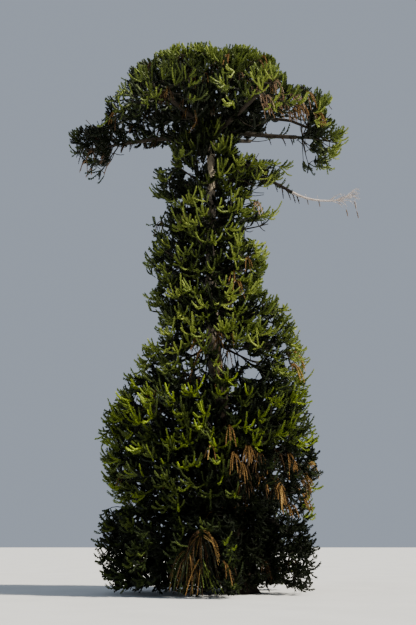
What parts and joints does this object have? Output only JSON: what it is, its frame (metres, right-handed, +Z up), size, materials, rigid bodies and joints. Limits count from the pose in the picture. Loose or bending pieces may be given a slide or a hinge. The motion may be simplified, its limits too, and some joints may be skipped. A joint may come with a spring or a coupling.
{
  "type": "monkey puzzle tree",
  "caption": "Tall old monkey puzzle tree with an umbrella crown on long limbs, tiers of rope-like shoots down a leaning trunk, a dead limb and a skirt that hangs to the ground.",
  "frame": {"origin": "middle of the flat cut under the trunk, at ground level", "axes": "+Z up the tree, +X to its right and -Y to its front as the picture sees it"},
  "size_m": [10.2748, 7.2544, 19.3],
  "materials": {
    "bark": "grey-beige bark in rings and plates, darker and mossy towards the foot",
    "foliage": "stiff dark green scale leaves, yellower on the outer shoots, fabric standing in for foliage",
    "dead_foliage": "dead brown shoots that hang on the tree, fabric standing in for foliage",
    "dead_wood": "bare weathered twigs and limb"
  },
  "bodies": {
    "root": {"trunk": "bark", "limb_right": "bark", "limb_back_right": "bark", "limb_back_left": "bark", "limb_left": "bark", "limb_front_left": "bark", "limb_front_right": "bark", "dead_limb_bough": "bark", "low_bough_left": "bark", "low_bough_front": "bark", "low_bough_right": "bark", "low_bough_back": "bark", "dead_limb": "dead_wood", "dead_limb_twigs": "dead_wood", "crown_top": "foliage", "umbrella_right": "foliage", "umbrella_back_right": "foliage", "umbrella_back_left": "foliage", "umbrella_left": "foliage", "umbrella_front_left": "foliage", "umbrella_front_right": "foliage", "dome_right": "foliage", "dome_back_right": "foliage", "dome_back_left": "foliage", "dome_left": "foliage", "dome_front_left": "foliage", "dome_front_right": "foliage", "upper_tier_back_right": "foliage", "upper_tier_back_left": "foliage", "upper_tier_front_left": "foliage", "upper_tier_front_right": "foliage", "column_top_right": "foliage", "column_top_back": "foliage", "column_top_left": "foliage", "column_top_front": "foliage", "column_middle_back_right": "foliage", "column_middle_back_left": "foliage", "column_middle_front_left": "foliage", "column_middle_front_right": "foliage", "column_foot_right": "foliage", "column_foot_back": "foliage", "column_foot_left": "foliage", "column_foot_front": "foliage", "open_tier_back_right": "foliage", "open_tier_back_left": "foliage", "open_tier_front_left": "foliage", "open_tier_front_right": "foliage", "skirt_top_right": "foliage", "skirt_top_back": "foliage", "skirt_top_left": "foliage", "skirt_top_front": "foliage", "skirt_back_right": "foliage", "skirt_back_left": "foliage", "skirt_front_left": "foliage", "skirt_front_right": "dead_foliage", "low_mass_left": "foliage", "low_mass_front": "foliage", "low_mass_right": "foliage", "low_mass_back": "foliage"}
  },
  "joints": []
}
